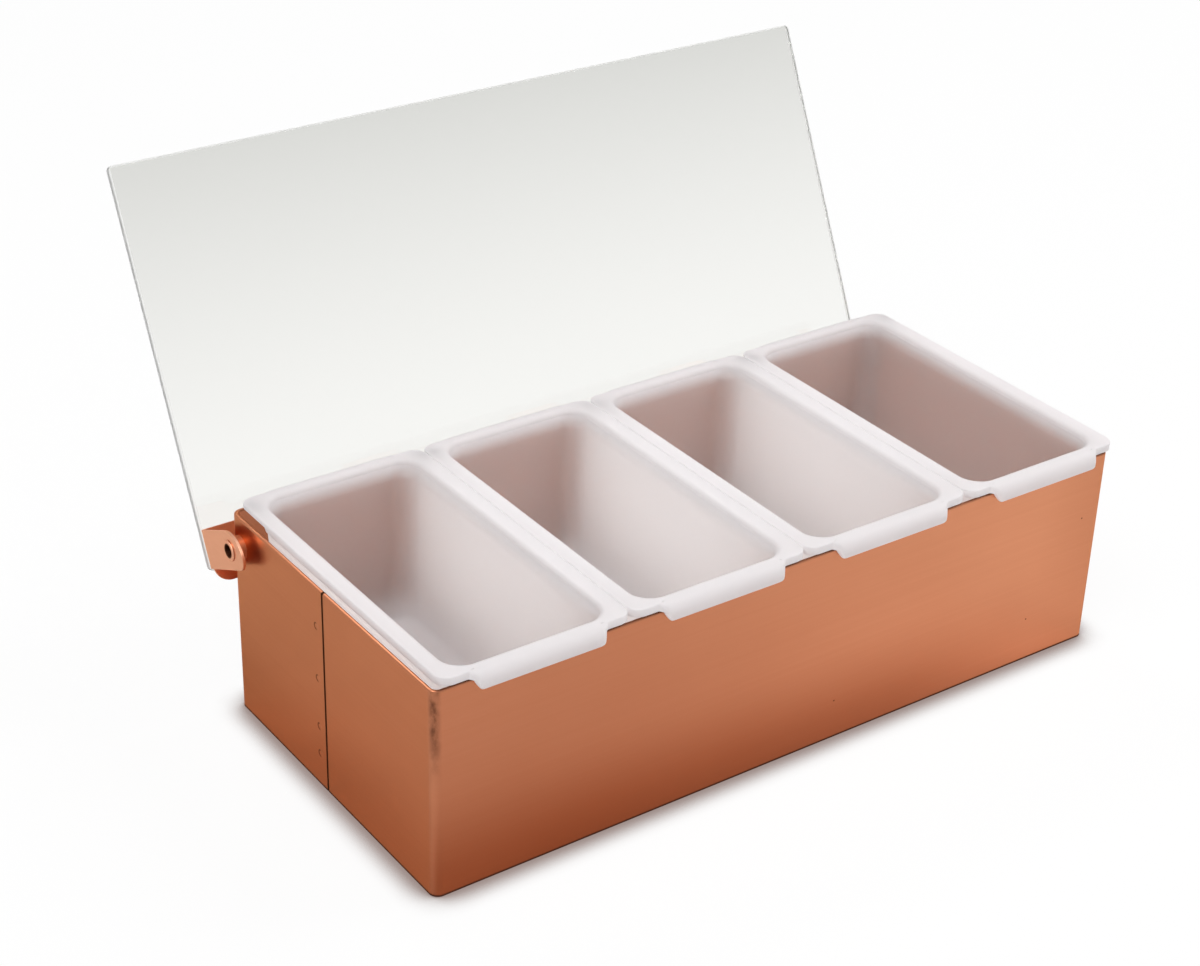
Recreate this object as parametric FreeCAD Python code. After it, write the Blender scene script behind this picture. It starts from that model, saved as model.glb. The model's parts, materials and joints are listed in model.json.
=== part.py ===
import FreeCAD, Part
import math
import os

# Condiment holder: a wrapped sheet casing carries four lift-out tubs under a clear lid,
# and the lid's bracket turns on a hollow rivet in each end wall.
# Origin: the middle of the underside. X runs along the length, Y to the back, Z up. Millimetres.

# Casing: one strip of sheet with a hem folded inwards along its top edge
casing_length = 300.0
casing_depth = 137.0
casing_height = 82.0
sheet = 0.8
bend_radius = 3.5
hem_depth = 7.0
hem_round_share = 0.46

# Lap seam: the strip's front end runs on as a tab behind its rear end, on the left end wall
seam_offset = 2.9
seam_gap = 0.5
tab_length = 10.0
tab_root = 4.0
tab_gap = 0.4
weld_diameter = 3.4
weld_depth = 0.12
weld_height_shares = [0.165, 0.305, 0.55, 0.81]
weld_place_share = 0.45

# Base pan: a shallow tray welded inside the wrap's lower edge
pan_sheet = 0.8
pan_flange = 9.0
pan_bend = 1.6
pan_fit = 0.1

# Tubs: drafted walls below a rounded rim, with a lip hooked over each long wall of the casing
tub_count = 4
tub_shift = 3.0
rim_gap = 0.2
rim_inset = 0.3
rim_seat_gap = 0.3
rim_edge = 2.1
rim_shoulder = 1.0
rim_plate = 1.5
rim_skirt = 1.2
side_margin = 7.0
end_margin = 4.5
opening_edge_round = 1.2
tub_wall = 2.0
tub_draft = 3.0
floor_round = 6.5
corner_land = 4.0
ice_space = 14.0
relief_length = 20.0
lip_length = 51.0
lip_clearance = 0.9
lip_thickness = 2.2
lip_drop = 3.2
lip_round = 4.4
lip_end_round = 3.0

# Hinge: hollow rivets through the end walls, with a spacer between wall and ear
rivet_diameter = 5.6
rivet_bore = 4.4
rivet_fit = 0.05
rivet_head_diameter = 8.0
rivet_head = 0.4
rivet_head_round = 0.2
rivet_foot_diameter = 6.6
rivet_bend_gap = 0.2
rivet_hem_gap = 1.2
spacer_diameter = 9.0
ear_gap = 3.7
ear_play = 0.1

# Bracket: a web along the lid's rear edge with an ear bent down at each end
bracket_sheet = 1.0
bracket_bend = 1.4
web_rear = 13.3
ear_front = 7.2
ear_rear = 7.3
ear_reach = 9.8
ear_rear_round = 4.0

# Lid: a flat clear panel on the bracket's outer face, measured from the hinge axis
lid_headroom = 7.1
lid_thickness = 2.5
lid_overhang = 11.0
lid_rear = 8.5
lid_corner = 2.0
lid_edge_round = 0.3
lid_open_angle = 115.5

# Rivets that hold the panel to the bracket
lid_rivet_count = 4
lid_rivet_margin = 22.0
lid_rivet_diameter = 3.2
lid_rivet_head_diameter = 6.4
lid_rivet_head = 1.2
lid_rivet_fit = 0.05

# How far every cut runs past the piece it cuts
overrun = 5.0

# Heights, places and sizes that follow from the values above
hem_thickness = 2 * sheet
hem_bottom = casing_height - hem_depth
wall_face_x = casing_length / 2
wall_face_y = casing_depth / 2
pan_length = casing_length - 2 * (sheet + pan_fit)
pan_depth = casing_depth - 2 * (sheet + pan_fit)
pan_corner = bend_radius - sheet - pan_fit

tub_pitch = casing_length / tub_count
rim_width = tub_pitch - rim_gap
rim_depth = casing_depth - 2 * rim_inset
rim_bottom = casing_height + rim_seat_gap
rim_top = rim_bottom + rim_edge + rim_shoulder
rim_corner = rim_shoulder + corner_land
plate_bottom = rim_top - rim_plate
opening_width = rim_width - 2 * side_margin
opening_length = rim_depth - 2 * end_margin
opening_corner = floor_round + corner_land
floor_bottom = pan_sheet + ice_space
floor_top = floor_bottom + tub_wall
draft_run = math.tan(math.radians(tub_draft))
lip_inner = wall_face_y + lip_clearance
lip_outer = lip_inner + lip_thickness
lip_bottom = casing_height - lip_drop

hole_radius = rivet_diameter / 2 + rivet_fit
foot_radius = rivet_foot_diameter / 2
pin_y = wall_face_y - bend_radius - foot_radius - rivet_bend_gap
pin_z = hem_bottom - foot_radius - rivet_hem_gap
ear_inner = wall_face_x + ear_gap
ear_outer = ear_inner + bracket_sheet
lid_under = rim_top - pin_z + lid_headroom
lid_front = pin_y + wall_face_y + lid_overhang
web_corner = web_rear - ear_rear
ear_front_round = ear_front + ear_rear - ear_rear_round

# Two points closer than this are taken as one place
same_place = FreeCAD.Base.Precision.approximation()


def vector(x, y, z):
    return FreeCAD.Vector(x, y, z)


# A closed outline of a rectangle with rounded corners, centred on the Z axis at one height
def rounded_outline(width, depth, radius, z):
    x, y = width / 2, depth / 2
    a, b = x - radius, y - radius
    k = radius * math.sqrt(0.5)
    corners = [(a, b, 1, 1), (-a, b, -1, 1), (-a, -b, -1, -1), (a, -b, 1, -1)]
    arcs = []
    for cx, cy, sx, sy in corners:
        side = vector(cx + sx * radius, cy, z)
        middle = vector(cx + sx * k, cy + sy * k, z)
        end = vector(cx, cy + sy * radius, z)
        first, last = (side, end) if sx * sy > 0 else (end, side)
        arcs.append(Part.Arc(first, middle, last).toShape())
    edges = []
    for arc, following in zip(arcs, arcs[1:] + arcs[:1]):
        edges.append(arc)
        edges.append(Part.makeLine(arc.lastVertex().Point, following.firstVertex().Point))
    return Part.Wire(edges)


def rounded_block(width, depth, radius, bottom, top):
    face = Part.Face(rounded_outline(width, depth, radius, bottom))
    return face.extrude(vector(0, 0, top - bottom))


def box(x0, x1, y0, y1, z0, z1):
    return Part.makeBox(x1 - x0, y1 - y0, z1 - z0, vector(x0, y0, z0))


# A cylinder along X between two places, about an axis at the given Y and Z
def rod_along_x(radius, x0, x1, y, z):
    return Part.makeCylinder(radius, x1 - x0, vector(x0, y, z), vector(1, 0, 0))


# Rounds every edge that lies wholly at one height
def round_edges_at(shape, z, radius):
    flat = [e for e in shape.Edges if max(abs(v.Z - z) for v in e.Vertexes) < same_place]
    return shape.makeFillet(radius, flat)


# The wrap: straight walls and hem, slit at the seam and backed there by the lap tab
def casing_wrap():
    wrap = rounded_block(casing_length, casing_depth, bend_radius, 0, casing_height)
    inside = rounded_block(casing_length - 2 * sheet, casing_depth - 2 * sheet,
                           bend_radius - sheet, -overrun, hem_bottom)
    mouth = rounded_block(casing_length - 2 * hem_thickness, casing_depth - 2 * hem_thickness,
                          bend_radius - hem_thickness, hem_bottom, casing_height + overrun)
    wrap = wrap.cut(inside).cut(mouth)
    wrap = round_edges_at(wrap, casing_height, hem_round_share * hem_thickness)
    slit = box(-wall_face_x - overrun, -wall_face_x + hem_thickness + overrun,
               seam_offset - seam_gap, seam_offset, -overrun, casing_height + overrun)
    tab = box(-wall_face_x + sheet, -wall_face_x + hem_thickness,
              seam_offset - seam_gap - tab_root, seam_offset + tab_length,
              pan_flange + tab_gap, hem_bottom - tab_gap)
    wrap = wrap.cut(slit).fuse(tab)
    for share in weld_height_shares:
        wrap = wrap.cut(weld_dent(share * casing_height))
    holes = rod_along_x(hole_radius, -wall_face_x - overrun, wall_face_x + overrun, pin_y, pin_z)
    return wrap.cut(holes).removeSplitter()


# A shallow round dent that a spot weld leaves on the lap's outer face
def weld_dent(height):
    radius = ((weld_diameter / 2) ** 2 + weld_depth ** 2) / (2 * weld_depth)
    centre = vector(-wall_face_x + weld_depth - radius, seam_offset + weld_place_share * tab_length, height)
    return Part.makeSphere(radius, centre)


def base_pan():
    outside = rounded_block(pan_length, pan_depth, pan_corner, 0, pan_flange)
    outside = round_edges_at(outside, 0, pan_bend)
    inside = rounded_block(pan_length - 2 * pan_sheet, pan_depth - 2 * pan_sheet,
                           pan_corner - pan_sheet, pan_sheet, pan_flange + overrun)
    inside = round_edges_at(inside, pan_sheet, pan_bend - pan_sheet)
    return outside.cut(inside)


# A drafted block that narrows downwards from its size at the rim, with a rounded foot
def drafted_block(width, depth, corner, bottom, top, foot_round):
    low = 2 * draft_run * (rim_top - bottom)
    high = 2 * draft_run * (rim_top - top)
    foot = rounded_outline(width - low, depth - low, corner, bottom)
    head = rounded_outline(width - high, depth - high, corner, top)
    block = Part.makeLoft([foot, head], True, True)
    return round_edges_at(block, bottom, foot_round)


# One lip: a quarter-round shoulder that turns down outside the wall, with rounded lower ends
def tub_lip():
    root = opening_length / 2
    k = lip_round * math.sqrt(0.5)
    arc_y = lip_outer - lip_round
    arc_z = rim_top - lip_round
    points = [(arc_y, rim_top), (lip_outer, arc_z), (lip_outer, lip_bottom), (lip_inner, lip_bottom),
              (lip_inner, rim_bottom), (root, rim_bottom), (root, rim_top), (arc_y, rim_top)]
    corners = [vector(-lip_length / 2, y, z) for y, z in points]
    middle = vector(-lip_length / 2, arc_y + k, arc_z + k)
    edges = [Part.Arc(corners[0], middle, corners[1]).toShape()]
    edges += [Part.makeLine(a, b) for a, b in zip(corners[1:], corners[2:])]
    bar = Part.Face(Part.Wire(edges)).extrude(vector(lip_length, 0, 0))
    front = rounded_outline(lip_length, 2 * (rim_top - lip_bottom), lip_end_round, 0)
    shape = Part.Face(front).extrude(vector(0, 0, lip_outer))
    shape.Placement = FreeCAD.Placement(vector(0, 0, rim_top), FreeCAD.Rotation(vector(1, 0, 0), -90))
    return bar.common(shape)


# One tub, centred on the Z axis: rim and lips, hollowed from below, round a drafted shell
def tub():
    rim = rounded_block(rim_width, rim_depth, rim_corner, rim_bottom, rim_top)
    rim = round_edges_at(rim, rim_top, rim_shoulder)
    lip = tub_lip()
    rim = rim.fuse([lip, lip.mirror(vector(0, 0, 0), vector(0, 1, 0))])
    hollow = rounded_block(rim_width - 2 * rim_skirt, rim_depth - 2 * rim_skirt,
                           rim_corner - rim_skirt, rim_bottom - overrun, plate_bottom)
    relief = box(-rim_width, rim_width, rim_depth / 2 - relief_length, rim_depth / 2 - rim_skirt,
                 rim_bottom - overrun, plate_bottom)
    shell = drafted_block(opening_width + 2 * tub_wall, opening_length + 2 * tub_wall,
                          opening_corner + tub_wall, floor_bottom, plate_bottom, floor_round + tub_wall)
    cavity = drafted_block(opening_width, opening_length, opening_corner,
                           floor_top, rim_top + overrun, floor_round)
    body = rim.cut(hollow).cut(relief).fuse(shell).cut(cavity).removeSplitter()
    mouth = [e for e in body.Edges if is_mouth_edge(e)]
    return body.makeFillet(opening_edge_round, mouth)


# The mouth's edges lie at the rim's top, no further out than the opening
def is_mouth_edge(edge):
    off_level = max(abs(v.Z - rim_top) for v in edge.Vertexes)
    past_side = max(abs(v.X) for v in edge.Vertexes) - opening_width / 2
    past_end = max(abs(v.Y) for v in edge.Vertexes) - opening_length / 2
    return max(off_level, past_side, past_end) < same_place


# A hollow rivet along X on the right side: shank, foot inside the wall and rolled head outside the ear
def hinge_rivet():
    start = wall_face_x - sheet - rivet_head
    end = ear_outer + ear_play + rivet_head
    shank = rod_along_x(rivet_diameter / 2, start, end, pin_y, pin_z)
    foot = rod_along_x(foot_radius, start, wall_face_x - sheet, pin_y, pin_z)
    head = rod_along_x(rivet_head_diameter / 2, ear_outer + ear_play, end, pin_y, pin_z)
    bore = rod_along_x(rivet_bore / 2, start - overrun, end + overrun, pin_y, pin_z)
    rivet = shank.fuse([foot, head]).cut(bore).removeSplitter()
    ends = [e for e in rivet.Edges if abs(e.CenterOfMass.x - end) < same_place]
    return rivet.makeFillet(rivet_head_round, ends)


def hinge_spacer():
    bush = rod_along_x(spacer_diameter / 2, wall_face_x, ear_inner - ear_play, pin_y, pin_z)
    return bush.cut(rod_along_x(hole_radius, wall_face_x - overrun, ear_inner + overrun, pin_y, pin_z))


def mirrored_left(shape):
    return shape.mirror(vector(0, 0, 0), vector(1, 0, 0))


# The next pieces are drawn with the lid shut and the hinge axis at the origin, then swung open
def swung_open(shape):
    turn = FreeCAD.Rotation(vector(1, 0, 0), -lid_open_angle)
    shape.Placement = FreeCAD.Placement(vector(0, pin_y, pin_z), turn).multiply(shape.Placement)
    return shape


# The section across the bracket: a web with an ear bent down at each end, as a closed outline
def bracket_section(y):
    outer = lid_under
    inner = lid_under - bracket_sheet
    half = ear_outer - bracket_bend
    level = lid_under - bracket_bend
    tight = bracket_bend - bracket_sheet
    k = math.sqrt(0.5)
    edges = []
    for side in (1, -1):
        bend_out = [vector(side * (half + bracket_bend * s), y, level + bracket_bend * c)
                    for s, c in ((0, 1), (k, k), (1, 0))]
        bend_in = [vector(side * (half + tight * s), y, level + tight * c)
                   for s, c in ((0, 1), (k, k), (1, 0))]
        tip_out = vector(side * ear_outer, y, -ear_reach)
        tip_in = vector(side * ear_inner, y, -ear_reach)
        edges.append(Part.Arc(*bend_out).toShape())
        edges.append(Part.makeLine(bend_out[2], tip_out))
        edges.append(Part.makeLine(tip_out, tip_in))
        edges.append(Part.makeLine(tip_in, bend_in[2]))
        edges.append(Part.Arc(*bend_in).toShape())
    edges.append(Part.makeLine(vector(-half, y, outer), vector(half, y, outer)))
    edges.append(Part.makeLine(vector(-half, y, inner), vector(half, y, inner)))
    return Part.Wire(Part.__sortEdges__(edges))


# The ear seen from its end: straight sides and a round tip, tighter at the rear
def ear_outline():
    k = math.sqrt(0.5)
    x = -ear_outer - overrun
    front_y, front_z = ear_front_round - ear_front, ear_front_round - ear_reach
    rear_y, rear_z = ear_rear - ear_rear_round, ear_rear_round - ear_reach
    top = lid_under + overrun
    front_arc = [vector(x, -ear_front, front_z),
                 vector(x, front_y - k * ear_front_round, front_z - k * ear_front_round),
                 vector(x, front_y, -ear_reach)]
    rear_arc = [vector(x, rear_y, -ear_reach),
                vector(x, rear_y + k * ear_rear_round, rear_z - k * ear_rear_round),
                vector(x, ear_rear, rear_z)]
    rear_top = vector(x, ear_rear, top)
    front_top = vector(x, -ear_front, top)
    edges = [Part.Arc(*front_arc).toShape(), Part.Arc(*rear_arc).toShape()]
    edges.append(Part.makeLine(rear_arc[2], rear_top))
    edges.append(Part.makeLine(rear_top, front_top))
    edges.append(Part.makeLine(front_top, front_arc[0]))
    return Part.Wire(Part.__sortEdges__(edges))


# The flat of the web between the bends, which runs on behind the ears to round corners
def web_flat():
    width = 2 * (ear_outer - bracket_bend)
    depth = web_rear + ear_front
    strip = rounded_block(width, depth, web_corner, lid_under - bracket_sheet, lid_under)
    strip.translate(vector(0, (web_rear - ear_front) / 2, 0))
    return strip


def lid_rivet_places():
    first = lid_rivet_margin - ear_outer
    step = -2 * first / (lid_rivet_count - 1)
    middle = (lid_rear - ear_front) / 2
    return [(first + i * step, middle) for i in range(lid_rivet_count)]


def lid_rivet_holes():
    radius = lid_rivet_diameter / 2 + lid_rivet_fit
    low = lid_under - bracket_sheet - overrun
    height = bracket_sheet + lid_thickness + 2 * overrun
    return [Part.makeCylinder(radius, height, vector(x, y, low)) for x, y in lid_rivet_places()]


def lid_bracket():
    width = ear_front + ear_rear
    bent = Part.Face(bracket_section(-ear_front)).extrude(vector(0, width, 0))
    ears = Part.Face(ear_outline()).extrude(vector(2 * (ear_outer + overrun), 0, 0))
    pin_hole = rod_along_x(hole_radius, -ear_outer - overrun, ear_outer + overrun, 0, 0)
    bracket = bent.common(ears).fuse(web_flat()).removeSplitter()
    return swung_open(bracket.cut([pin_hole] + lid_rivet_holes()))


def lid_panel():
    length = lid_front + lid_rear
    top = lid_under + lid_thickness
    panel = rounded_block(2 * ear_outer, length, lid_corner, lid_under, top)
    panel = round_edges_at(panel, top, lid_edge_round)
    panel = round_edges_at(panel, lid_under, lid_edge_round)
    panel.translate(vector(0, (lid_rear - lid_front) / 2, 0))
    return swung_open(panel.cut(lid_rivet_holes()))


# A rivet with a domed head on the panel and another under the web
def lid_rivet(x, y):
    low = lid_under - bracket_sheet
    high = lid_under + lid_thickness
    shank = Part.makeCylinder(lid_rivet_diameter / 2, high - low, vector(x, y, low))
    upper = domed_head()
    upper.translate(vector(x, y, high))
    lower = domed_head().mirror(vector(0, 0, 0), vector(0, 0, 1))
    lower.translate(vector(x, y, low))
    return shank.fuse([upper, lower]).removeSplitter()


# A cap cut from a ball, standing on the plane of its rim
def domed_head():
    radius = ((lid_rivet_head_diameter / 2) ** 2 + lid_rivet_head ** 2) / (2 * lid_rivet_head)
    ball = Part.makeSphere(radius, vector(0, 0, lid_rivet_head - radius))
    return ball.common(box(-radius, radius, -radius, radius, 0, radius))


def lid_rivets():
    return swung_open(Part.makeCompound([lid_rivet(x, y) for x, y in lid_rivet_places()]))


os.makedirs("parts", exist_ok=True)
pieces = {
    "casing_wrap": casing_wrap(),
    "base_pan": base_pan(),
    "lid_panel": lid_panel(),
    "lid_bracket": lid_bracket(),
    "lid_rivets": lid_rivets(),
    "hinge_rivet_left": mirrored_left(hinge_rivet()),
    "hinge_rivet_right": hinge_rivet(),
    "hinge_spacer_left": mirrored_left(hinge_spacer()),
    "hinge_spacer_right": hinge_spacer(),
}
for number in range(tub_count):
    place = (number + 0.5) * tub_pitch - casing_length / 2 + tub_shift
    piece = tub()
    piece.translate(vector(place, 0, 0))
    pieces["tub_%d" % (number + 1)] = piece

for name, shape in pieces.items():
    print(name, len(shape.Solids), "solid", "valid" if shape.isValid() else "not valid",
          "volume %.1f cm3" % (shape.Volume / 1000))
    shape.exportStep("parts/%s.step" % name)
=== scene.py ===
import json
import math
import bpy
import numpy as np
from mathutils import Matrix, Vector


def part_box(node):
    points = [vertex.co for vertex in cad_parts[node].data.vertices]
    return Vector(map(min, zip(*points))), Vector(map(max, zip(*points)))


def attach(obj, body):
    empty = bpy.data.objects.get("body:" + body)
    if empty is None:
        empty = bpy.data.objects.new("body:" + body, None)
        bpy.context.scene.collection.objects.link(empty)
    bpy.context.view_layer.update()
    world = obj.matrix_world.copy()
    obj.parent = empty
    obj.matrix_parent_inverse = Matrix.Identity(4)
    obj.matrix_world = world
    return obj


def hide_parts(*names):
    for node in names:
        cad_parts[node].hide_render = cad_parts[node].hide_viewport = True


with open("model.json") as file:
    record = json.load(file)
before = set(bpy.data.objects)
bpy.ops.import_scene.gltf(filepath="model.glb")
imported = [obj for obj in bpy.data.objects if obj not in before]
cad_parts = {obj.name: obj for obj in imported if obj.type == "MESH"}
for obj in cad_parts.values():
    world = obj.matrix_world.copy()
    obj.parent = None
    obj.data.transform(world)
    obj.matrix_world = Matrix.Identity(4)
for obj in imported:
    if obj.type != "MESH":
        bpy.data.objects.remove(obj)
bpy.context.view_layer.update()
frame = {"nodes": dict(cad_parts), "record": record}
nodes = frame["nodes"]
mm = 0.001  # lengths in the dictionaries below are in millimetres, unless a note says metres
hinge = next(joint for joint in frame["record"]["behaviour"]["joints"] if joint["name"] == "lid_hinge")


# Lengths in metres: each length in millimetres times a thousandth
def metres(lengths):
    return [length * mm for length in lengths]


# Camera: stands at the front left of the box, above the rims, and leans a little
cameraSettings = {
    "eye": (-473.8, -602.4, 507.0),
    "heading": 35.877,  # degrees from +Y towards +X
    "tilt": 29.157,  # degrees below the horizon
    "roll": 1.761,  # degrees
    "focalLength": 71.635,
    "sensorWidth": 36.0,
    "clip": (10.0, 50000.0),
}


# A turn about one axis by an angle in degrees
def turned(degrees, axis):
    return Matrix.Rotation(math.radians(degrees), 4, axis)


# The camera's matrix: its place, times a turn to its heading, times its tilt, times its roll
def addCamera(s):
    data = bpy.data.cameras.new("camera")
    data.lens = s["focalLength"]
    data.sensor_width = s["sensorWidth"]
    data.clip_start, data.clip_end = metres(s["clip"])
    camera = bpy.data.objects.new("camera", data)
    bpy.context.scene.collection.objects.link(camera)
    aim = turned(-s["heading"], "Z") @ turned(90 - s["tilt"], "X") @ turned(s["roll"], "Z")
    camera.matrix_world = Matrix.Translation(Vector(s["eye"]) * mm) @ aim
    bpy.context.scene.camera = camera


addCamera(cameraSettings)
print("camera placed")


# A socket gets a plain value, or a link where the value is another node's socket
def feed(tree, socket, value):
    if isinstance(value, bpy.types.NodeSocket):
        tree.links.new(value, socket)
    else:
        socket.default_value = value


# A node with its settings and what feeds its inputs
def addNode(tree, kind, inputs=None, **settings):
    node = tree.nodes.new(kind)
    for name, value in settings.items():
        setattr(node, name, value)
    for name, value in (inputs or {}).items():
        feed(tree, node.inputs[name], value)
    return node


# An empty material and its tree, with an output node to link to
def newMaterial(name):
    material = bpy.data.materials.new(name)
    material.use_nodes = True
    tree = material.node_tree
    tree.nodes.clear()
    output = tree.nodes.new("ShaderNodeOutputMaterial")
    return material, tree, output


# One number worked out by a Math node
def calculated(tree, operation, *values):
    node = addNode(tree, "ShaderNodeMath", operation=operation)
    for socket, value in zip(node.inputs, values):
        feed(tree, socket, value)
    return node.outputs["Value"]


# A number rising smoothly from 0 to 1 while value goes from start to end
def eased(tree, value, start, end):
    inputs = {"Value": value, "From Min": start, "From Max": end}
    return addNode(tree, "ShaderNodeMapRange", inputs, interpolation_type="SMOOTHSTEP").outputs["Result"]


# A number going evenly from low to high while share goes from 0 to 1
def between(tree, share, low, high):
    inputs = {"Value": share, "To Min": low, "To Max": high}
    return addNode(tree, "ShaderNodeMapRange", inputs).outputs["Result"]


# Two colours mixed by a factor
def mixedColour(tree, factor, first, second):
    node = addNode(tree, "ShaderNodeMix", data_type="RGBA")
    sockets = {socket.identifier: socket for socket in node.inputs}
    for name, value in (("Factor_Float", factor), ("A_Color", first), ("B_Color", second)):
        feed(tree, sockets[name], value)
    return next(socket for socket in node.outputs if socket.identifier == "Result_Color")


# Two shaders mixed by a factor
def mixedShader(tree, factor, first, second):
    node = addNode(tree, "ShaderNodeMixShader", {"Fac": factor})
    tree.links.new(first, node.inputs[1])
    tree.links.new(second, node.inputs[2])
    return node.outputs["Shader"]


# Noise on object coordinates stretched by a scale in features per metre along each axis
def stretchedNoise(tree, place, scale, detail, roughness):
    mapping = addNode(tree, "ShaderNodeMapping", {"Vector": place, "Scale": scale})
    inputs = {"Vector": mapping.outputs["Vector"], "Scale": 1.0, "Detail": detail, "Roughness": roughness}
    return addNode(tree, "ShaderNodeTexNoise", inputs).outputs["Fac"]


# The distance from one place across two axes: the root of the two squared differences' sum
def distanceFrom(tree, first, second, place):
    firstPlace, secondPlace = metres(place)
    across = calculated(tree, "SUBTRACT", first, firstPlace)
    along = calculated(tree, "SUBTRACT", second, secondPlace)
    squares = calculated(tree, "MULTIPLY_ADD", across, across, calculated(tree, "MULTIPLY", along, along))
    return calculated(tree, "SQRT", squares)


copperSettings = {
    "pale": (0.690, 0.298, 0.166, 1.0),
    "deep": (0.595, 0.235, 0.123, 1.0),
    # painted shade: the deep red of the shadowed floor that the walls reflect near their foot and left end
    "paintedShade": (0.205, 0.033, 0.005, 1.0),
    # dark tone for real tarnish, specks and weld rings, and for painted shade in the seam's slit, round the
    # rivet bores, under the rims and along the foot
    "tarnishAndShade": (0.075, 0.026, 0.015, 1.0),
    "edgeTint": (0.90, 0.62, 0.48, 1.0),
    # brushing is long along the walls and fine up them
    "brushing": {"scale": (9.0, 9.0, 800.0), "detail": 5.0, "roughness": 0.65},
    "blotches": {"scale": (16.0, 16.0, 22.0), "detail": 3.0, "roughness": 0.5},
    "brushDepth": 0.02,
    "brushStrength": 0.6,
    "roughness": (0.25, 0.33),
    "markRoughness": 0.2,  # what a dark mark or painted shade line adds
    # each painted shade, for the shadowed floor that the walls reflect: where along the front wall and how low
    # it goes from none to all, its share at the top edge, and what the lower wall adds
    "paintedShades": (
        {"ends": (110.0, -120.0), "heights": (75.0, 5.0), "shares": (0.34, 0.22)},  # towards the left end
        {"ends": (170.0, 30.0), "heights": (45.0, 4.0), "shares": (0.0, 0.56)},  # along the foot
        {"ends": (112.0, 150.0), "heights": (75.0, 5.0), "shares": (0.13, 0.0)},  # at the right end
    ),
    "otherWalls": 0.50,  # share of each painted shade that the other walls get
    "frontFace": (-66.0, -68.4),  # where the front wall and the left wall start, and are reached
    "leftFace": (-147.0, -149.0),
    "bend": (-150.0, -68.5),  # the front left bend's line, seen from above
    "bendReach": (3.6, 1.0),
    "bendHeights": (40.0, 72.0),
    "bendBlotches": {"scale": (330.0, 330.0, 170.0), "detail": 4.0, "roughness": 0.6},
    "bendLevels": (0.30, 0.70),  # of the blotches' noise, from clean to dark
    "bendShares": (0.25, 0.72),  # between the blotches, and what they add
    # the seam's dark line is painted shade in its slit
    "seam": 2.65,
    "seamReach": (0.85, 0.45),
    "weldLine": 7.4,
    "weldHeights": (13.5, 25.0, 45.1, 66.4),
    "weldRing": (0.75, 1.15, 1.35, 1.75),  # radii from the ring's clean middle to the clean wall
    "weldOpening": (-0.9, 0.6),  # across a weld, where its ring starts to show and shows fully
    "weldShare": 0.75,
    "speckScale": 42.0,  # cells per metre
    "speckReach": (0.018, 0.010),  # in parts of a cell
    "speckRarity": 0.94,
    "footShadeLine": (1.1, 0.4),  # painted shade: dark lines along the walls' bottom edge, where they stand on the floor
    "rimShadowLine": (81.4, 82.0),  # and painted shadow on the front wall's hem, below the tubs' rims
    "boreShadeReach": None,  # only the hinge rivets get painted shade round their bores
}


# Painted shade, for the shadowed floor that the walls reflect near their foot and ends: each one's share is its
# even part on the other walls, turning on the front wall into its rise along it, times its least share plus
# what its lower part adds. Together they are one minus the product of what each leaves unshaded.
def paintedShadeShare(tree, s, x, y, z):
    front = eased(tree, y, *metres(s["frontFace"]))
    unshaded = 1.0
    for paintedShade in s["paintedShades"]:
        along = eased(tree, x, *metres(paintedShade["ends"]))
        extra = calculated(tree, "SUBTRACT", along, s["otherWalls"])
        even = calculated(tree, "MULTIPLY_ADD", extra, front, s["otherWalls"])
        low = eased(tree, z, *metres(paintedShade["heights"]))
        least, more = paintedShade["shares"]
        share = calculated(tree, "MULTIPLY", even, calculated(tree, "MULTIPLY_ADD", low, more, least))
        unshaded = calculated(tree, "MULTIPLY", unshaded, calculated(tree, "SUBTRACT", 1.0, share))
    return calculated(tree, "SUBTRACT", 1.0, unshaded)


# Tarnish on the front left bend: near the bend's line, times a rise with height, times blotchy noise
def bendTarnish(tree, s, place, x, y, z):
    near = eased(tree, distanceFrom(tree, x, y, s["bend"]), *metres(s["bendReach"]))
    high = eased(tree, z, *metres(s["bendHeights"]))
    blotch = eased(tree, stretchedNoise(tree, place, **s["bendBlotches"]), *s["bendLevels"])
    least, more = s["bendShares"]
    patchy = calculated(tree, "MULTIPLY_ADD", blotch, more, least)
    return calculated(tree, "MULTIPLY", near, calculated(tree, "MULTIPLY", high, patchy))


# Marks on the left wall: a dark line along the seam, which is painted shade in its slit, and part of a ring
# round each spot weld
def seamShadeAndWeldMarks(tree, s, x, y, z):
    left = eased(tree, x, *metres(s["leftFace"]))
    aside = calculated(tree, "ABSOLUTE", calculated(tree, "SUBTRACT", y, s["seam"] * mm))
    marksAndShade = eased(tree, aside, *metres(s["seamReach"]))
    inner, ringIn, ringOut, outer = metres(s["weldRing"])
    shown = eased(tree, y, *metres(s["weldLine"] + edge for edge in s["weldOpening"]))
    for height in s["weldHeights"]:
        distance = distanceFrom(tree, y, z, (s["weldLine"], height))
        ring = calculated(tree, "MULTIPLY", eased(tree, distance, inner, ringIn),
                          eased(tree, distance, outer, ringOut))
        ring = calculated(tree, "MULTIPLY", calculated(tree, "MULTIPLY", ring, shown), s["weldShare"])
        marksAndShade = calculated(tree, "MAXIMUM", marksAndShade, ring)
    return calculated(tree, "MULTIPLY", marksAndShade, left)


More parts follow.
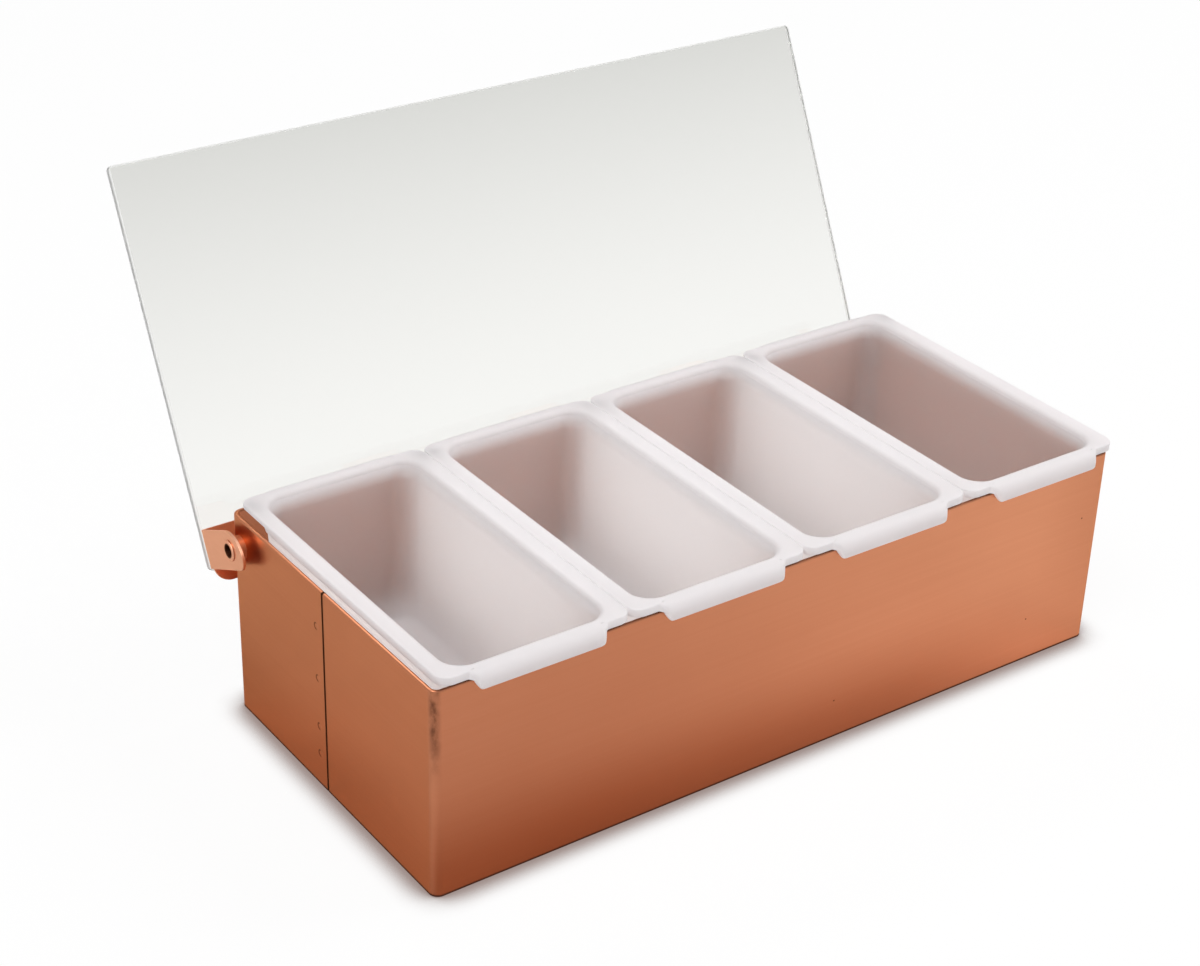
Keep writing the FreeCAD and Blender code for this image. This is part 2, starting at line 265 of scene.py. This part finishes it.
# Specks: small dots at the middles of a few of the cells that a flat Voronoi pattern spreads over the walls
def darkSpecks(tree, s, x, y, z):
    inputs = {"X": calculated(tree, "ADD", x, y), "Y": z}
    flat = addNode(tree, "ShaderNodeCombineXYZ", inputs).outputs["Vector"]
    cells = addNode(tree, "ShaderNodeTexVoronoi", {"Vector": flat, "Scale": s["speckScale"]},
                    voronoi_dimensions="2D")
    chance = addNode(tree, "ShaderNodeSeparateXYZ", {"Vector": cells.outputs["Color"]}).outputs["X"]
    chosen = calculated(tree, "GREATER_THAN", chance, s["speckRarity"])
    return calculated(tree, "MULTIPLY", chosen, eased(tree, cells.outputs["Distance"], *s["speckReach"]))


# Painted shade: a shadow line along the front wall's top edge under the rims, a dark line along all walls'
# bottom edge where they stand on the floor, and a dark ring round a rivet's bore, where the hole is in shade
def paintedEdgeShade(tree, s, y, z):
    line = calculated(tree, "MULTIPLY", eased(tree, z, *metres(s["rimShadowLine"])),
                      eased(tree, y, *metres(s["frontFace"])))
    line = calculated(tree, "MAXIMUM", line, eased(tree, z, *metres(s["footShadeLine"])))
    if s["boreShadeReach"]:
        pin = [v / mm for v in hinge["pos_m"][1:]]
        ring = eased(tree, distanceFrom(tree, y, z, pin), *metres(s["boreShadeReach"]))
        line = calculated(tree, "MAXIMUM", line, ring)
    return line


# Satin copper: two tones mixed by the mean of long brushing and soft blotches, then painted shade for the
# shadowed floor that the walls reflect, and the darkest of the marks and painted shade lines over them.
# Roughness falls as the tone grows pale, and rises on a mark or a painted shade line.
def copperSheet(name, s):
    material, tree, output = newMaterial(name)
    place = addNode(tree, "ShaderNodeTexCoord").outputs["Object"]
    split = addNode(tree, "ShaderNodeSeparateXYZ", {"Vector": place}).outputs
    x, y, z = split["X"], split["Y"], split["Z"]
    brushing = stretchedNoise(tree, place, **s["brushing"])
    blotches = stretchedNoise(tree, place, **s["blotches"])
    tone = calculated(tree, "MULTIPLY", calculated(tree, "ADD", brushing, blotches), 0.5)
    colour = mixedColour(tree, tone, s["deep"], s["pale"])
    colour = mixedColour(tree, paintedShadeShare(tree, s, x, y, z), colour, s["paintedShade"])
    marksAndShade = calculated(tree, "MAXIMUM", bendTarnish(tree, s, place, x, y, z), seamShadeAndWeldMarks(tree, s, x, y, z))
    marksAndShade = calculated(tree, "MAXIMUM", marksAndShade, darkSpecks(tree, s, x, y, z))
    marksAndShade = calculated(tree, "MAXIMUM", marksAndShade, paintedEdgeShade(tree, s, y, z))
    colour = mixedColour(tree, marksAndShade, colour, s["tarnishAndShade"])
    low, high = s["roughness"]
    roughness = calculated(tree, "MULTIPLY_ADD", marksAndShade, s["markRoughness"], between(tree, tone, high, low))
    bump = addNode(tree, "ShaderNodeBump", {
        "Height": brushing, "Distance": s["brushDepth"] * mm, "Strength": s["brushStrength"]})
    shader = addNode(tree, "ShaderNodeBsdfPrincipled", {
        "Base Color": colour, "Metallic": 1.0, "Roughness": roughness, "Specular Tint": s["edgeTint"],
        "Normal": bump.outputs["Normal"]})
    tree.links.new(shader.outputs["BSDF"], output.inputs["Surface"])
    return material


plasticSettings = {
    "rim": (0.895, 0.872, 0.886, 1.0),
    "wall": (0.985, 0.962, 0.961, 1.0),
    "glow": (0.997, 0.986, 0.983, 1.0),  # of the light that passes through
    "glowShares": (0.40, 0.80),  # how much passes the thick rim, and the thin walls below it
    "roughness": (0.42, 0.52),
    "specular": 0.25,
    "mottling": {"scale": (60.0, 60.0, 60.0), "detail": 4.0, "roughness": 0.6},
    "skinDepth": 0.03,
    "skinStrength": 0.5,
}


# Milky plastic: light scatters back at the rim and passes through where the mesh's own attribute calls it thin
def milkyPlastic(s):
    material, tree, output = newMaterial("milky moulded plastic")
    place = addNode(tree, "ShaderNodeTexCoord").outputs["Object"]
    thin = addNode(tree, "ShaderNodeAttribute", attribute_name="thin").outputs["Fac"]
    mottling = stretchedNoise(tree, place, **s["mottling"])
    bump = addNode(tree, "ShaderNodeBump", {
        "Height": mottling, "Distance": s["skinDepth"] * mm, "Strength": s["skinStrength"]})
    shader = addNode(tree, "ShaderNodeBsdfPrincipled", {
        "Base Color": mixedColour(tree, thin, s["rim"], s["wall"]),
        "Roughness": between(tree, mottling, *s["roughness"]),
        "Normal": bump.outputs["Normal"], "Specular IOR Level": s["specular"]})
    glow = addNode(tree, "ShaderNodeBsdfTranslucent", {"Color": s["glow"]})
    share = between(tree, thin, *s["glowShares"])
    both = mixedShader(tree, share, shader.outputs["BSDF"], glow.outputs["BSDF"])
    tree.links.new(both, output.inputs["Surface"])
    return material


acrylicSettings = {
    "clear": (0.955, 0.955, 0.930, 1.0),  # beside the hinge
    "paintedShadeGrey": (0.715, 0.718, 0.692, 1.0),  # at the free edge: painted shade, for the darker surroundings that the lid reflects there
    "paintedShadePower": 1.7,
    "sawn": (0.93, 0.935, 0.915, 1.0),
    "sawnReach": (1.0, 0.3),  # from the panel's edges
    "sawnMatt": 0.35,  # share of the light that a sawn edge holds back
    "sawnRoughness": 0.5,
    "roughness": (0.015, 0.05),
    "refraction": 1.49,
    "scuffs": {"scale": (35.0, 35.0, 35.0), "detail": 5.0, "roughness": 0.65},
    "openAngle": 115.5,  # degrees, from lying flat to the rest pose
    "panelEnds": (8.5, -141.0),  # the rear edge and the free edge, from the hinge
    "halfWidth": 154.7,
}


# Clear acrylic: a refracting sheet, with painted shade that greys it to its free edge by a power of the way
# there, for the darker surroundings that it reflects, and with soft scuffs and matt sawn edges. The panel's own
# axes come from object coordinates moved to the hinge and turned back by the lid's opening.
def clearAcrylic(s):
    material, tree, output = newMaterial("clear acrylic")
    place = addNode(tree, "ShaderNodeTexCoord").outputs["Object"]
    panel = addNode(tree, "ShaderNodeMapping", {
        "Vector": place, "Location": hinge["pos_m"], "Rotation": (-math.radians(s["openAngle"]), 0, 0)},
        vector_type="TEXTURE").outputs["Vector"]
    split = addNode(tree, "ShaderNodeSeparateXYZ", {"Vector": panel}).outputs
    rear, front = s["panelEnds"]
    along = addNode(tree, "ShaderNodeMapRange", {
        "Value": split["Y"], "From Min": rear * mm, "From Max": front * mm}).outputs["Result"]
    along = calculated(tree, "POWER", along, s["paintedShadePower"])
    tintAndShade = mixedColour(tree, along, s["clear"], s["paintedShadeGrey"])
    fromSide = calculated(tree, "SUBTRACT", s["halfWidth"] * mm, calculated(tree, "ABSOLUTE", split["X"]))
    offMiddle = calculated(tree, "SUBTRACT", split["Y"], (rear + front) / 2 * mm)
    fromEnd = calculated(tree, "SUBTRACT", (rear - front) / 2 * mm, calculated(tree, "ABSOLUTE", offMiddle))
    sawn = eased(tree, calculated(tree, "MINIMUM", fromSide, fromEnd), *metres(s["sawnReach"]))
    scuffs = stretchedNoise(tree, place, **s["scuffs"])
    matt = calculated(tree, "MULTIPLY", sawn, s["sawnRoughness"])
    shader = addNode(tree, "ShaderNodeBsdfPrincipled", {
        "Base Color": mixedColour(tree, sawn, tintAndShade, s["sawn"]),
        "Roughness": calculated(tree, "MAXIMUM", between(tree, scuffs, *s["roughness"]), matt),
        "IOR": s["refraction"],
        "Transmission Weight": calculated(tree, "MULTIPLY_ADD", sawn, -s["sawnMatt"], 1.0)})
    tree.links.new(shader.outputs["BSDF"], output.inputs["Surface"])
    return material


cleanSettings = dict(copperSettings, paintedShades=())
paleSettings = dict(cleanSettings, pale=(0.84, 0.455, 0.31, 1.0), deep=(0.76, 0.39, 0.25, 1.0))
# rivets: pale copper with painted shade round their bores
rivetSettings = dict(paleSettings, boreShadeReach=(2.95, 2.6), roughness=(0.36, 0.44))
# spacers: a darker copper, painted shade for where they sit between the ear and the wall
shadedSpacerSettings = dict(cleanSettings, pale=(0.64, 0.25, 0.13, 1.0), deep=(0.54, 0.20, 0.10, 1.0),
                    roughness=(0.50, 0.60))
copper = copperSheet("satin copper sheet", copperSettings)
bracketCopper = copperSheet("bracket copper", paleSettings)
rivetCopper = copperSheet("rivet copper", rivetSettings)
shadedSpacerCopper = copperSheet("shaded spacer copper", shadedSpacerSettings)
plastic = milkyPlastic(plasticSettings)
acrylic = clearAcrylic(acrylicSettings)
finishes = {"copper_sheet": copper, "copper_rivet": rivetCopper, "tub_plastic": plastic,
            "clear_acrylic": acrylic}
ownFinishes = {"lid_bracket": bracketCopper, "hinge_spacer_left": shadedSpacerCopper,
               "hinge_spacer_right": shadedSpacerCopper}
for part in frame["record"]["subparts"]:
    finish = ownFinishes.get(part["node"], finishes[part["material_slot"]])
    for slot in nodes[part["node"]].material_slots:
        slot.material = finish

tubSettings = {
    "rimShoulder": 0.45,
    "rimEdge": 2.65,
    "rimPlate": 1.5,
    "rimSkirt": 1.2,
    "skirtRound": 0.3,
    "rimInset": 0.3,  # how far the plain rim stays inside the casing's long walls
    "cornerLand": 4.55,
    "sideMargin": 7.0,
    "endMargin": 4.5,
    "mouthRound": 2.2,
    "mouthCorner": 8.0,
    "wall": 2.0,
    "draft": 3.0,  # degrees
    "floorRound": 6.2,
    "lipLength": 51.0,
    "lipThickness": 2.2,
    "lipRound": 4.4,
    "lipDrop": 3.2,  # below the top of the casing's wall
    "lipBottomRound": 1.0,
    "lipEndRound": 3.0,
    "lipEndBlend": 1.8,
    "reliefLength": 20.0,
    "reliefBlend": 0.8,
    "thinDepths": (2.0, 8.0),  # below the rim, where the wall starts to pass light and passes it fully
    "thickHeights": (32.0, 24.0),  # where it starts to pass less, and reaches its share, down to the floor
    "thickShare": 0.3,
    "cornerSteps": 16,  # columns round a corner, and along an end and a long side from stop to stop
    "endSteps": (6, 8, 10, 3),
    "sideSteps": (15, 6, 3),
    "footSteps": 14,  # rows of each stretch
    "wallSteps": 12,
    "mouthSteps": 7,
    "landSteps": 4,
    "shoulderSteps": 10,
    "edgeSteps": 3,
    "roundSteps": 6,
    "lipInnerSteps": 4,
    "skirtSteps": 2,
}


# Smooth step from 0 to 1 as t goes from 0 to 1: 3 t squared minus 2 t cubed
def smoothStep(t):
    t = np.clip(t, 0, 1)
    return t * t * (3 - 2 * t)


# Even steps between 0 and 1, without both ends
def innerSteps(count):
    return np.linspace(0, 1, count + 2)[1:-1]


# Even steps from each stop to the next, without the first stop
def stepsThrough(stops, counts):
    return np.concatenate([np.linspace(start, end, count + 1)[1:]
                           for start, end, count in zip(stops, stops[1:], counts)])


# A quarter round of radius 1: one minus the sine and one minus the cosine, from 0 to 90 degrees
def quarterRound(steps):
    angle = np.radians(np.linspace(0, 90, steps))
    return 1 - np.sin(angle), 1 - np.cos(angle)


# Shares of the straight run along an end, which crowd together where the lip starts and stops
def endShares(s, run):
    edge, blend = s["lipLength"] / 2 / run, s["lipEndBlend"] / run
    half = stepsThrough([0, edge - s["lipEndRound"] / run, edge - blend, edge + blend, 1], s["endSteps"])
    return np.concatenate([-half[::-1], [0], half])


# Shares of the straight run along a long side, which crowd together where the skirt's relief starts
def sideShares(s, run, halfLength):
    edge, blend = (halfLength - s["reliefLength"]) / run, s["reliefBlend"] / run
    return np.concatenate([[-1], stepsThrough([-1, edge - blend, edge + blend, 1], s["sideSteps"])])


# Columns round a rounded rectangle: each is a share of the straight run and an outward unit normal, so a
# point is share times (half size minus radius) plus radius times normal, for any half size and radius
def ringColumns(alongEnd, alongSide, cornerSteps):
    def side(x, shares):
        return np.broadcast_arrays(float(x), shares, float(x), 0.0)

    def end(y, shares):
        return np.broadcast_arrays(shares, float(y), 0.0, float(y))

    def corner(start):
        angle = np.radians(start + np.linspace(0, 90, cornerSteps + 2)[1:-1])
        return np.sign(np.cos(angle)), np.sign(np.sin(angle)), np.cos(angle), np.sin(angle)

    stretches = [side(1, alongSide), corner(0), end(1, -alongEnd), corner(90),
                 side(-1, alongSide[::-1]), corner(180), end(-1, alongEnd), corner(270)]
    return np.concatenate([np.stack(stretch) for stretch in stretches], 1)


# Heights of the skirt's foot, of the lip's foot and of the rim plate's underside, each a drop from a top
def rimLevels(s, top, wallTop):
    return top - s["rimShoulder"] - s["rimEdge"], wallTop - s["lipDrop"], top - s["rimPlate"]


# One tub's rows from the middle of its floor, up its inner wall, over the rim and down its outer wall.
# Each row is a rounded rectangle: half width, half length, corner radius and height. The second set of
# half lengths and heights is the same row where a lip hooks over the wall.
def tubRows(s, halfWidth, halfLength, top, bottom, lipReach, wallTop):
    lean = math.tan(math.radians(s["draft"]))
    openX, openY, openRadius = halfWidth - s["sideMargin"], halfLength - s["endMargin"], s["mouthCorner"]
    rimRadius = s["rimShoulder"] + s["cornerLand"]
    skirtFoot, lipFoot, plate = rimLevels(s, top, wallTop)
    rows = []

    # the next rows, whose lip is the plain ring unless it is given
    def add(x, y, radius, z, lipY=None, lipZ=None):
        x, y, radius, z = np.broadcast_arrays(x, y, radius, np.asarray(z, float))
        lipY = y if lipY is None else np.broadcast_to(lipY, y.shape)
        lipZ = z if lipZ is None else np.broadcast_to(lipZ, z.shape)
        rows.append(np.stack([x, y, radius, z, lipY, lipZ], 1))

    # the next rows of the rim, each inset from its outline
    def addRim(inset, z, lipY=None, lipZ=None):
        add(halfWidth - inset, halfLength - inset, rimRadius - inset, z, lipY, lipZ)

    # a drafted wall with a round foot: out from the wall's top edge by grow, from floor height to high
    def draftedWall(grow, floor, foot, high):
        angle = np.radians(np.linspace(-90, -s["draft"], s["footSteps"]))
        centre = -lean * (top - floor - foot) - foot / math.cos(math.radians(s["draft"]))
        reach = grow + centre + foot * np.cos(angle)
        height = floor + foot + foot * np.sin(angle)
        wallZ = np.linspace(height[-1], high, s["wallSteps"])[1:]
        reach = np.concatenate([reach, grow - lean * (top - wallZ)])
        height = np.concatenate([height, wallZ])
        inset = np.maximum(0, grow - lean * (top - height) - reach)
        return reach, openRadius + grow - inset, height

    # inner wall, round mouth and the rim's flat land
    reach, radius, height = draftedWall(0, bottom + s["wall"], s["floorRound"], top - s["mouthRound"])
    add(openX + reach, openY + reach, radius, height)
    falling, rising = quarterRound(s["mouthSteps"])
    out = s["mouthRound"] * rising
    add(openX + out, openY + out, openRadius + out, top - s["mouthRound"] * falling)
    t = innerSteps(s["landSteps"])
    flatX, flatY, flatRadius = (size + s["mouthRound"] for size in (openX, openY, openRadius))
    add(flatX + t * (halfWidth - s["rimShoulder"] - flatX), flatY + t * (halfLength - s["rimShoulder"] - flatY),
        flatRadius + t * (s["cornerLand"] - flatRadius), top, flatY + t * (lipReach - s["lipRound"] - flatY))

    # shoulder and edge, or the lip's quarter round and its straight drop
    falling, rising = quarterRound(s["shoulderSteps"])
    addRim(s["rimShoulder"] * falling, top - s["rimShoulder"] * rising,
           lipReach - s["lipRound"] * falling, top - s["lipRound"] * rising)
    t = innerSteps(s["edgeSteps"])
    addRim(0, top - s["rimShoulder"] - t * (s["rimEdge"] - s["skirtRound"]),
           lipReach, top - s["lipRound"] - t * (top - s["lipRound"] - lipFoot - s["lipBottomRound"]))

    # round foot of the skirt, or of the lip
    falling, rising = quarterRound(s["roundSteps"])
    addRim(s["skirtRound"] * rising, skirtFoot + s["skirtRound"] * falling,
           lipReach - s["lipBottomRound"] * rising, lipFoot + s["lipBottomRound"] * falling)

    # across the skirt's foot, or round the lip's inner edge and up its inner face
    lipInner = lipReach - s["lipThickness"]
    t = innerSteps(s["lipInnerSteps"])
    lipY = np.concatenate([lipInner + s["lipBottomRound"] * falling, np.full(len(t), lipInner)])
    lipZ = np.concatenate([lipFoot + s["lipBottomRound"] * rising,
                           lipFoot + s["lipBottomRound"] + t * (skirtFoot - lipFoot - s["lipBottomRound"])])
    footWidth = s["rimSkirt"] - 2 * s["skirtRound"]
    addRim(s["skirtRound"] + footWidth * innerSteps(len(lipY)), skirtFoot, lipY, lipZ)
    addRim(s["rimSkirt"] - s["skirtRound"] * falling, skirtFoot + s["skirtRound"] * rising)

    # up inside the skirt, under the rim's plate, then down the outer wall
    t = np.linspace(0, 1, s["skirtSteps"] + 1)[1:]
    addRim(s["rimSkirt"], skirtFoot + s["skirtRound"] + t * (plate - skirtFoot - s["skirtRound"]))
    reach, radius, height = draftedWall(s["wall"], bottom, s["floorRound"] + s["wall"], plate)
    add(openX + reach[::-1], openY + reach[::-1], radius[::-1], height[::-1])
    return np.concatenate(rows).T


# A closed tub: rows carried round the columns. The lip's weight moves a row to its lip shape, its round lower
# corners shorten it near its ends, and the relief's weight lifts the skirt at the back of the long sides.
# The second result says how thin each point's wall is, from 0 to 1.
def tubSurface(s, low, high, casingHigh):
    top, wallTop = high[2], casingHigh[2]
    centreX, halfWidth = (low[0] + high[0]) / 2, (high[0] - low[0]) / 2
    halfLength = casingHigh[1] - s["rimInset"]
    x, y, radius, z, lipY, lipZ = tubRows(s, halfWidth, halfLength, top, low[2], high[1], wallTop)
    rimRadius = s["rimShoulder"] + s["cornerLand"]
    endRun, sideRun = halfWidth - rimRadius, halfLength - rimRadius
    shareX, shareY, normalX, normalY = ringColumns(
        endShares(s, endRun), sideShares(s, sideRun, halfLength), s["cornerSteps"])
    skirtFoot, lipFoot, plate = rimLevels(s, top, wallTop)

    onEnd = np.abs(normalY) == 1
    fromEnd = s["lipLength"] / 2 - np.abs(shareX) * endRun
    lip = np.where(onEnd, smoothStep(0.5 + fromEnd / (2 * s["lipEndBlend"])), 0)
    short = np.clip(s["lipEndRound"] - fromEnd, 0, s["lipEndRound"])
    rise = s["lipEndRound"] - np.sqrt(s["lipEndRound"] ** 2 - short ** 2)
    shrink = 1 - rise / (skirtFoot - lipFoot)
    tongue = (lipY > halfLength) & (lipZ < skirtFoot)
    hooked = np.where(tongue[:, None], skirtFoot - (skirtFoot - lipZ[:, None]) * shrink, lipZ[:, None])
    heights = z[:, None] + lip * (hooked - z[:, None])
    lengths = y[:, None] + lip * (lipY - y)[:, None]

    back = shareY * sideRun + rimRadius * normalY
    relief = smoothStep(0.5 + (back - halfLength + s["reliefLength"]) / (2 * s["reliefBlend"]))
    relief = relief * smoothStep(0.5 + (halfLength - s["rimSkirt"] - back) / s["reliefBlend"])
    outside = np.arange(len(z)) >= np.argmax(z)  # rows past the first one on the rim's top
    skirt = outside & (x > halfWidth - s["rimSkirt"] - s["rimShoulder"])
    lifted = np.where(skirt[:, None] & (heights < plate), plate + (heights - plate) * (1 - relief), heights)

    pointsX = (x - radius)[:, None] * shareX + radius[:, None] * normalX + centreX
    pointsY = (lengths - radius[:, None]) * shareY + radius[:, None] * normalY
    shell = (z < top) & (x < halfWidth - s["sideMargin"] + s["wall"] + s["skirtRound"])
    start, end = s["thinDepths"]
    thin = np.where(shell, smoothStep((top - z - start) / (end - start)), 0)
    start, end = s["thickHeights"]
    thin = thin * (1 - (1 - s["thickShare"]) * smoothStep((start - z) / (start - end)))
    return np.stack([pointsX, pointsY, lifted], 2), np.repeat(thin, len(shareX))


# A mesh from a grid of points that is closed round its columns, with a flat cap on its first and last row
def closedGridMesh(name, points, thin):
    rowCount, columnCount, _ = points.shape
    index = np.arange(rowCount * columnCount).reshape(rowCount, columnCount)
    following = np.roll(index, -1, axis=1)
    quads = np.stack([index[:-1], index[1:], following[1:], following[:-1]], 2).reshape(-1, 4)
    faces = quads.tolist() + [index[0].tolist(), index[-1][::-1].tolist()]
    mesh = bpy.data.meshes.new(name)
    mesh.from_pydata((points.reshape(-1, 3) * mm).tolist(), [], faces)
    mesh.polygons.foreach_set("use_smooth", np.ones(len(mesh.polygons), bool))
    mesh.attributes.new("thin", "FLOAT", "POINT").data.foreach_set("value", thin)
    mesh.update()
    return mesh


# A finished mesh as an object that rides a body in place of a CAD node
def addPiece(name, mesh, material, body, node):
    piece = bpy.data.objects.new(name, mesh)
    bpy.context.scene.collection.objects.link(piece)
    mesh.materials.append(material)
    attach(piece, body)
    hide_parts(node)


_, casingHigh = (np.array(corner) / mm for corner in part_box("casing_wrap"))
for name in sorted(n for n in nodes if n.startswith("tub_")):
    low, high = (np.array(corner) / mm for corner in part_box(name))
    mesh = closedGridMesh("moulded_" + name, *tubSurface(tubSettings, low, high, casingHigh))
    addPiece("moulded_" + name, mesh, plastic, name, name)
    print("moulded", name, "with", len(mesh.polygons), "faces")

stageSettings = {
    "floorSize": 6000.0,
    "floorDrop": 0.2,
    "floorColour": (0.95, 0.95, 0.95, 1.0),
    "white": (1.0, 1.0, 1.0, 1.0),
    "whiteShare": 0.93,  # of even white that the camera and glass see on the floor
    "glossShare": 0.0,  # and that the copper's gloss sees there
    "contactShadow": (0.32, 0.245, 0.225, 1.0),  # painted contact shadow, with a red cast of the copper: the white's tone where a wall stands on the floor
    "contactReach": 12.5,
    "contactLevels": (0.5, 1.0),  # how open the floor is, from that tone to white
    "contactSamples": 16,
    "ambient": 0.02,
}


# Pale floor: plain diffuse, mixed with a share of even white where a camera or glass ray meets it, or a gloss
# ray by its own share. The white turns greyer where something stands close by, as a painted contact shadow.
def paleFloor(s):
    material, tree, output = newMaterial("pale floor")
    path = addNode(tree, "ShaderNodeLightPath").outputs
    seen = calculated(tree, "MAXIMUM", path["Is Camera Ray"], path["Is Transmission Ray"])
    share = calculated(tree, "MAXIMUM", calculated(tree, "MULTIPLY", seen, s["whiteShare"]),
                       calculated(tree, "MULTIPLY", path["Is Glossy Ray"], s["glossShare"]))
    nearby = addNode(tree, "ShaderNodeAmbientOcclusion", {"Distance": s["contactReach"] * mm},
                     samples=s["contactSamples"])
    clear = eased(tree, nearby.outputs["AO"], *s["contactLevels"])
    diffuse = addNode(tree, "ShaderNodeBsdfDiffuse", {"Color": s["floorColour"]})
    white = addNode(tree, "ShaderNodeEmission", {
        "Color": mixedColour(tree, clear, s["contactShadow"], s["white"]), "Strength": 1.0})
    both = mixedShader(tree, share, diffuse.outputs["BSDF"], white.outputs["Emission"])
    tree.links.new(both, output.inputs["Surface"])
    return material


# One square face, a little below the box
def addFloor(s):
    half, z = s["floorSize"] * mm / 2, -s["floorDrop"] * mm
    corners = [(-half, -half, z), (half, -half, z), (half, half, z), (-half, half, z)]
    mesh = bpy.data.meshes.new("floor")
    mesh.from_pydata(corners, [], [(0, 1, 2, 3)])
    floor = bpy.data.objects.new("floor", mesh)
    bpy.context.scene.collection.objects.link(floor)
    mesh.materials.append(paleFloor(s))


# White surroundings for the camera, gloss and glass, and a softer level for the light that they give
def addSurroundings(s):
    world = bpy.data.worlds.new("studio")
    bpy.context.scene.world = world
    world.use_nodes = True
    tree = world.node_tree
    tree.nodes.clear()
    path = addNode(tree, "ShaderNodeLightPath").outputs
    seen = calculated(tree, "MAXIMUM", path["Is Camera Ray"], path["Is Glossy Ray"])
    seen = calculated(tree, "MAXIMUM", seen, path["Is Transmission Ray"])
    background = addNode(tree, "ShaderNodeBackground", {"Strength": between(tree, seen, s["ambient"], 1.0)})
    output = tree.nodes.new("ShaderNodeOutputWorld")
    tree.links.new(background.outputs["Background"], output.inputs["Surface"])


# Lamps: places and sizes in metres
lampSettings = {
    "left": {"place": (-1.16, -0.36, 2.07), "aim": (0.0, 0.0, 0.05), "size": (1.2, 1.2), "watts": 32.0},
    "right": {"place": (1.59, -0.24, 1.78), "aim": (0.0, 0.0, 0.05), "size": (1.2, 1.2), "watts": 29.0},
    "front": {"place": (0.24, -1.63, 1.75), "aim": (0.0, 0.0, 0.05), "size": (1.2, 1.2), "watts": 9.0},
    "back": {"place": (0.10, 1.60, 1.75), "aim": (0.0, 0.0, 0.05), "size": (0.4, 0.4), "watts": 8.0},
}


# A soft rectangular lamp whose face is turned to its aim
def addLamp(name, s):
    data = bpy.data.lights.new(name, "AREA")
    data.shape = "RECTANGLE"
    data.size, data.size_y = s["size"]
    data.energy = s["watts"]
    lamp = bpy.data.objects.new(name, data)
    bpy.context.scene.collection.objects.link(lamp)
    lamp.location = s["place"]
    lamp.rotation_mode = "QUATERNION"
    lamp.rotation_quaternion = (Vector(s["aim"]) - Vector(s["place"])).to_track_quat("-Z", "Y")


addFloor(stageSettings)
addSurroundings(stageSettings)
for name, settings in lampSettings.items():
    addLamp(name, settings)
bpy.context.scene.view_settings.view_transform = "Standard"
print("stage set")
